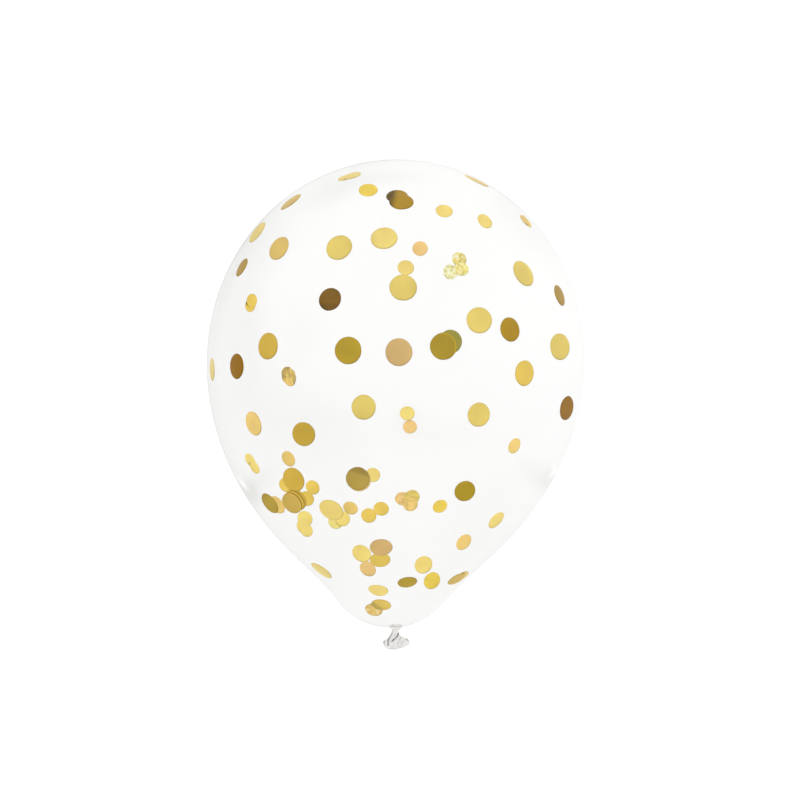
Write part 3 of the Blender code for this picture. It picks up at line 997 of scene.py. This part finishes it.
def disc(number, row, under):
    px, py, long, short, tilt, wall, layer, tone, crumple = row
    rng = random.Random(1000 + number)
    stand_off = layer * (CRUMPLED_STEP if crumple else STEP)
    centre, normal, radius, follows = placed(px, py, long, short, tilt, wall, layer, under, stand_off)
    gap = CLEAR + stand_off
    u = normal.orthogonal().normalized()
    w = normal.cross(u)
    wave = [(rng.uniform(0.002, 0.005), k, rng.uniform(0, 2 * pi)) for k in (2, 3, 5)]
    curl = rng.uniform(0.0, 0.00012)
    turn = rng.uniform(0, pi)
    creases = [(rng.uniform(0, pi), rng.uniform(-0.5, 0.5), rng.uniform(0.6, 1.0)) for _ in range(5)]
    at_x, at_y = seen_at(centre)

    def inwards(x, y):
        """How far the foil stands off its own plane, into the balloon, at a place in units of its radius."""
        f = hypot(x, y)
        lift = curl * (x * cos(turn) + y * sin(turn)) ** 2 if follows else 0.0
        if wall == "T":
            lift += 0.00020 * max(0.0, (f - 0.90) / 0.10) ** 2
        if crumple:
            for angle, shift, size in creases[:2 + crumple]:
                q = x * cos(angle) + y * sin(angle) - shift
                lift += crumple * 0.00040 * size * (1 - abs(((q * 1.3) % 1.0) * 2 - 1)) / 2
        return lift

    bm = bmesh.new()
    tone_and_shade = bm.verts.layers.float.new("tone_and_shade")
    painted_glint = bm.verts.layers.float.new("painted_glint")
    sides = []
    for face in (1, -1):                                   # the wall's side, then the air's side
        rings = []
        for f in RINGS:
            edge = sqrt(max(0.0, 1 - max(0.0, (f - 0.97) / 0.03) ** 2))
            count = 1 if f == 0 else SEGMENTS
            ring = []
            for j in range(count):
                a = 2 * pi * j / SEGMENTS
                r = f * (1 + sum(s * cos(k * a + h) for s, k, h in wave))
                x, y = r * cos(a), r * sin(a)
                p = centre + (u * x + w * y) * radius
                if follows:
                    for _ in range(3):
                        p = p + wall_normal(p) * room(p, gap)
                    n = wall_normal(p)
                else:
                    n = normal
                sx, sy = seen_at(p)
                # painted shade: the rim darker on its lower right as the camera sees it, and a little darker all round
                low_right = max(0.0, cos(atan2(at_y - sy, sx - at_x) + radians(70)))
                tone_and_shade_here = 1.0 + (-0.06 - 0.30 * low_right) * smooth(0.89, 0.96, f)
                if (px, py) in LIT_RIMS:
                    middle, half, strength = LIT_RIMS[(px, py)]
                    around = cos(atan2(at_y - sy, sx - at_x) - radians(middle))
                    within = smooth(cos(radians(half)), cos(radians(half * 0.6)), around)
                    tone_and_shade_here = tone_and_shade_here * (1 - within) + within * (1 + strength * smooth(0.84, 0.91, f))
                white = 0.0
                # crumpled foil: painted reflections as lighter and darker patches, and painted glints near white
                if crumple:
                    patchy = noise.noise(Vector((x * 2.6, y * 2.6, number * 3.7)))
                    tone_and_shade_here *= 1 + 0.09 * crumple * max(-1.0, min(0.35, patchy * 2.2))
                    white = PAINTED_GLINTS.get((px, py), 0.0) * smooth(0.0, 0.35, patchy)
                tone_and_shade_here *= 1 + LEVELS.get((px, py), 0.0)
                # painted reflection and shade drifting across the disc
                for angle, low, high, change in TONE_AND_REFLECTION_DRIFTS.get((px, py), ()):
                    q = ((sx - at_x) * cos(radians(angle)) - (sy - at_y) * sin(radians(angle))) / (long / 2)
                    tone_and_shade_here *= 1 + change * smooth(low, high, q)
                p = p - n * inwards(x, y) + n * face * THICK / 2 * edge
                ring.append((p, tone_and_shade_here, white))
            rings.append(ring)
        sides.append(rings)
    verts = []
    for face, rings in zip((1, -1), sides):
        made = []
        for f, ring in zip(RINGS, rings):
            if face == -1 and f == 1.0:
                made.append(verts[0][-1])
            else:
                row_of = []
                for p, value, white in ring:
                    v = bm.verts.new(p)
                    v[tone_and_shade], v[painted_glint] = value, white
                    row_of.append(v)
                made.append(row_of)
        verts.append(made)
    for which, made in enumerate(verts):
        for j in range(SEGMENTS):
            k = (j + 1) % SEGMENTS
            tri = (made[0][0], made[1][j], made[1][k])
            bm.faces.new(tri if which == 0 else tri[::-1])
        for a, b in zip(made[1:], made[2:]):
            for j in range(SEGMENTS):
                k = (j + 1) % SEGMENTS
                quad = (a[j], b[j], b[k], a[k])
                bm.faces.new(quad if which == 0 else quad[::-1])
    for face in bm.faces:
        face.smooth = True
    name = "confetti_%02d" % number
    mesh = bpy.data.meshes.new(name)
    bm.normal_update()
    bm.to_mesh(mesh)
    bm.free()
    mesh.materials.append(FOIL[tone])
    obj = link(bpy.data.objects.new(name, mesh))
    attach(obj, "root")
    return centre, normal, follows


under = {"T": None, "F": None}                             # the last disc that lies on each wall
for number, row in enumerate(DISCS, 1):
    wall, layer = row[5], row[6]
    if layer:
        disc(number, row, under[wall])
    else:
        under[wall] = disc(number, row, None)

# ---------------------------------------------------------------- floor, world and lights
floor_mesh = bpy.data.meshes.new("floor")
bm = bmesh.new()
bmesh.ops.create_grid(bm, x_segments=8, y_segments=8, size=9.0)
bm.to_mesh(floor_mesh)
bm.free()
floor = link(bpy.data.objects.new("floor", floor_mesh))
floor.location = (0, 0, -0.0004)
floor_mat = bpy.data.materials.new("lit_table")            # a white table that glows a little from below
nt, shader = nodes_of(floor_mat)
shader.inputs["Base Color"].default_value = (0.25, 0.25, 0.25, 1)
shader.inputs["Roughness"].default_value = 1.0
shader.inputs["Specular IOR Level"].default_value = 0.0
shader.inputs["Emission Color"].default_value = (1, 1, 1, 1)
shader.inputs["Emission Strength"].default_value = 0.80
floor_mesh.materials.append(floor_mat)

world = bpy.data.worlds.new("studio")
bpy.context.scene.world = world
world.use_nodes = True
world.node_tree.nodes["Background"].inputs["Color"].default_value = (1, 1, 1, 1)
world.node_tree.nodes["Background"].inputs["Strength"].default_value = 1.0


def flag(name, azimuth, elevation, far, size, grey):
    """A dull card that only reflections show: it gives the bright foil its darker edge on one side."""
    mesh = bpy.data.meshes.new(name)
    bm = bmesh.new()
    bmesh.ops.create_grid(bm, x_segments=1, y_segments=1, size=size / 2)
    bm.to_mesh(mesh)
    bm.free()
    mat = bpy.data.materials.new(name)
    nt, shader = nodes_of(mat)
    shader.inputs["Base Color"].default_value = (grey, grey, grey, 1)
    shader.inputs["Roughness"].default_value = 1.0
    shader.inputs["Specular IOR Level"].default_value = 0.0
    mesh.materials.append(mat)
    obj = link(bpy.data.objects.new(name, mesh))
    a, e = radians(azimuth), radians(elevation)
    obj.location = Vector((cos(a) * cos(e), sin(a) * cos(e), sin(e))) * far + Vector((0, 0, AXIS_Z))
    obj.rotation_euler = (Vector((0, 0, AXIS_Z)) - obj.location).to_track_quat("Z", "Y").to_euler()
    obj.visible_camera = False
    obj.visible_diffuse = False
    obj.visible_shadow = False
    obj.visible_transmission = False
    return obj


flag("dull_card", -52, 4, 1.6, 0.75, 0.06)

scene = bpy.context.scene
scene.view_settings.view_transform = "Standard"
scene.view_settings.look = "None"
scene.view_settings.exposure = 0.0
scene.view_settings.gamma = 1.0
